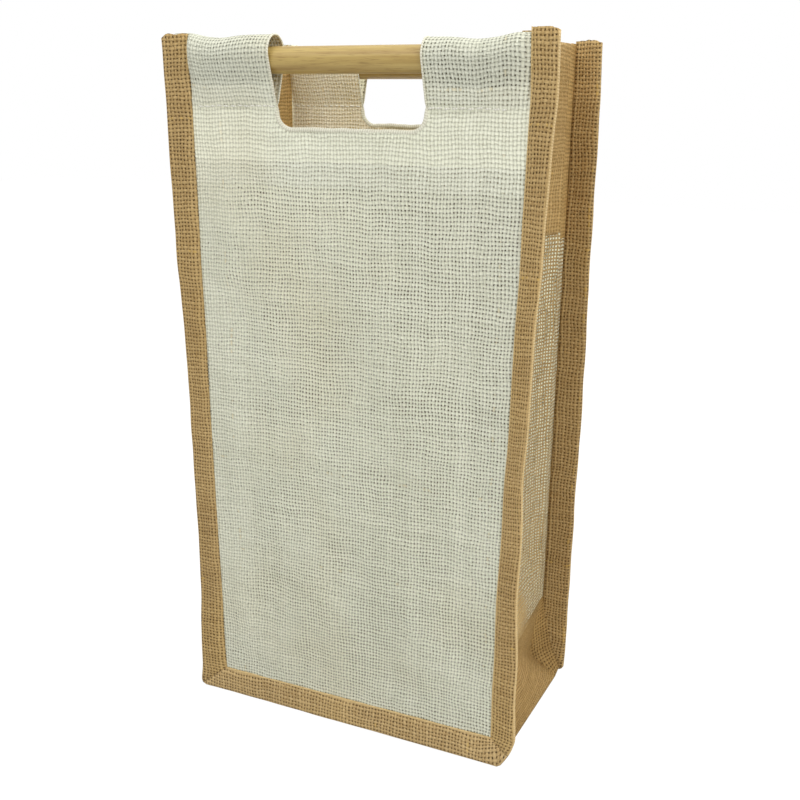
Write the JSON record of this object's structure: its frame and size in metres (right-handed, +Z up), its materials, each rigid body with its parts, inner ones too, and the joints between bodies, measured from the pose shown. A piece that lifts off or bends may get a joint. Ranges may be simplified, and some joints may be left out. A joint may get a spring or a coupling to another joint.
{
  "type": "bottle carrier bag",
  "caption": "Tall jute carrier bag for two bottles, with bound outward seams, fold-in side gussets and a wooden dowel handle held in sleeves beside each hand hole.",
  "frame": {"origin": "on the floor, under the middle of the open bag", "axes": "+X to the right across the panels, -Y to the front, +Z up"},
  "size_m": [0.2, 0.1208, 0.374],
  "materials": {
    "panel_jute": "bleached open plain weave",
    "natural_jute": "undyed open plain weave",
    "handle_wood": "sanded, unvarnished"
  },
  "bodies": {
    "front": {"front_panel": "panel_jute", "front_facing": "panel_jute", "front_bottom_binding": "natural_jute", "front_gusset_edge": "natural_jute", "front_left_sleeve": "panel_jute", "front_left_binding": "natural_jute", "front_right_sleeve": "panel_jute", "front_right_binding": "natural_jute", "left_base_corner": "natural_jute", "right_base_corner": "natural_jute"},
    "back": {"back_panel": "panel_jute", "back_facing": "panel_jute", "back_bottom_binding": "natural_jute", "back_gusset_edge": "natural_jute", "back_left_sleeve": "panel_jute", "back_left_binding": "natural_jute", "back_right_sleeve": "panel_jute", "back_right_binding": "natural_jute"},
    "left_front_half": {"left_gusset_front_half": "natural_jute"},
    "left_back_half": {"left_gusset_back_half": "natural_jute"},
    "right_front_half": {"right_gusset_front_half": "natural_jute"},
    "right_back_half": {"right_gusset_back_half": "natural_jute"},
    "base_front_half": {"base_front_half": "natural_jute"},
    "front_dowel": {"front_dowel": "handle_wood"},
    "base_back_half": {"base_back_half": "natural_jute"},
    "back_dowel": {"back_dowel": "handle_wood"}
  },
  "joints": [
    {"name": "fold_flat", "type": "hinge", "parent": "front", "child": "left_front_half", "pos_m": [-0.0838, -0.0415, 0], "axis": [0, 0, -1], "range_deg": [0, 86], "deforming": ["left_base_corner", "right_base_corner"]},
    {"name": "left_centre_fold", "type": "hinge", "parent": "left_front_half", "child": "left_back_half", "pos_m": [-0.085, 0, 0], "axis": [0, 0, 1], "range_deg": [0, 172]},
    {"name": "back_fold", "type": "hinge", "parent": "left_back_half", "child": "back", "pos_m": [-0.0838, 0.0415, 0], "axis": [0, 0, -1], "range_deg": [0, 86]},
    {"name": "right_front_fold", "type": "hinge", "parent": "front", "child": "right_front_half", "pos_m": [0.0838, -0.0415, 0], "axis": [0, 0, 1], "range_deg": [0, 86]},
    {"name": "right_centre_fold", "type": "hinge", "parent": "right_front_half", "child": "right_back_half", "pos_m": [0.085, 0, 0], "axis": [0, 0, -1], "range_deg": [0, 172]},
    {"name": "base_front_fold", "type": "hinge", "parent": "front", "child": "base_front_half", "pos_m": [0, -0.0415, 0.0052], "axis": [1, 0, 0], "range_deg": [0, 86]},
    {"name": "base_centre_fold", "type": "hinge", "parent": "base_front_half", "child": "base_back_half", "pos_m": [0, 0, 0.004], "axis": [-1, 0, 0], "range_deg": [0, 172]},
    {"name": "front_dowel_spin", "type": "hinge", "parent": "front", "child": "front_dowel", "pos_m": [0, -0.0518, 0.36085], "axis": [1, 0, 0], "continuous": true},
    {"name": "back_dowel_spin", "type": "hinge", "parent": "back", "child": "back_dowel", "pos_m": [0, 0.0518, 0.36085], "axis": [1, 0, 0], "continuous": true}
  ],
  "couplings": [
    {"joint": "left_centre_fold", "follows": "fold_flat", "ratio": 2},
    {"joint": "back_fold", "follows": "fold_flat", "ratio": 1},
    {"joint": "right_front_fold", "follows": "fold_flat", "ratio": 1},
    {"joint": "right_centre_fold", "follows": "fold_flat", "ratio": 2},
    {"joint": "base_front_fold", "follows": "fold_flat", "ratio": 1},
    {"joint": "base_centre_fold", "follows": "fold_flat", "ratio": 2}
  ]
}
